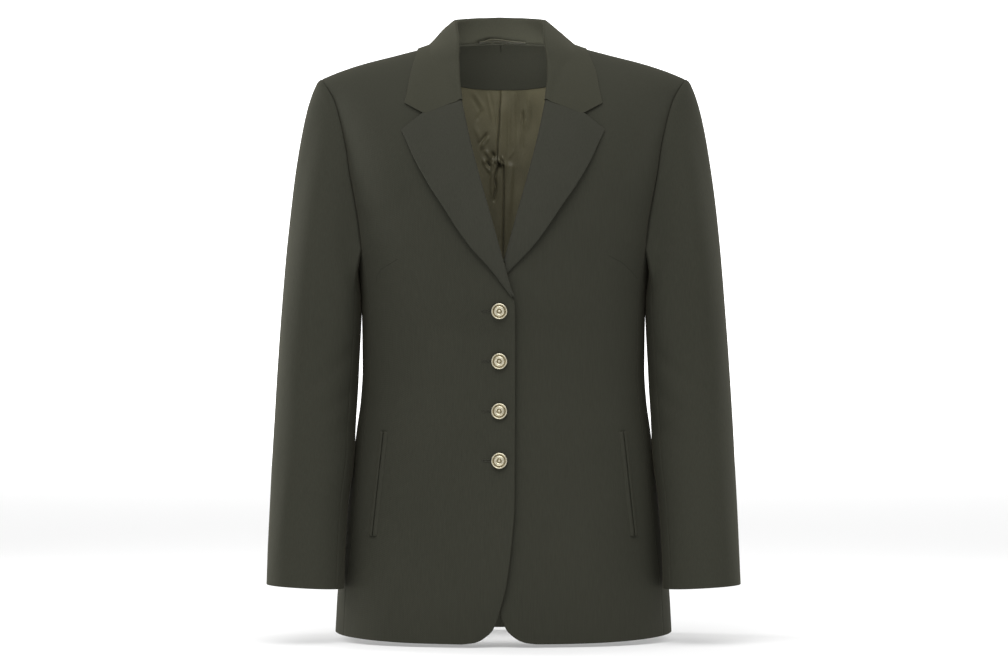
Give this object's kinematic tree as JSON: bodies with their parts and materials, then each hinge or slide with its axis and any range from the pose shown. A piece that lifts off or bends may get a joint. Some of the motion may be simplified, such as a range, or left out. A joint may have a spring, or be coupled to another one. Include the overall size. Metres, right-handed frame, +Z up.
{
  "type": "single-breasted blazer",
  "caption": "Long tailored blazer with notched lapels, a single row of buttons, slanted welt pockets, rounded front hem and two-piece sleeves, filled out as if worn.",
  "frame": {"origin": "middle of the neck opening, at the height where the shoulder lines meet the neck", "axes": "+X towards the wearer's left, which is the right of the picture, -Y towards the front, +Z up"},
  "size_m": [0.559, 0.2747, 0.7484],
  "materials": {
    "worsted": "fine worsted wool blend, matt with a faint sheen",
    "collar_cloth": "fine worsted wool blend, pressed",
    "satin": "satin lining, soft sheen",
    "pale_gold": "satin pale gold"
  },
  "bodies": {
    "root": {"front_right": "worsted", "front_left": "worsted", "side_right": "worsted", "side_left": "worsted", "back_right": "worsted", "back_left": "worsted", "top_sleeve_right": "worsted", "top_sleeve_left": "worsted", "under_sleeve_right": "worsted", "under_sleeve_left": "worsted", "collar": "collar_cloth", "lapel_right": "collar_cloth", "lapel_left": "collar_cloth", "back_neck_facing": "worsted", "back_lining": "satin", "hanger_loop": "satin", "welt_right_outer": "worsted", "welt_right_inner": "worsted", "welt_left_outer": "worsted", "welt_left_inner": "worsted", "button_1": "pale_gold", "button_2": "pale_gold", "button_3": "pale_gold", "button_4": "pale_gold"}
  },
  "joints": []
}
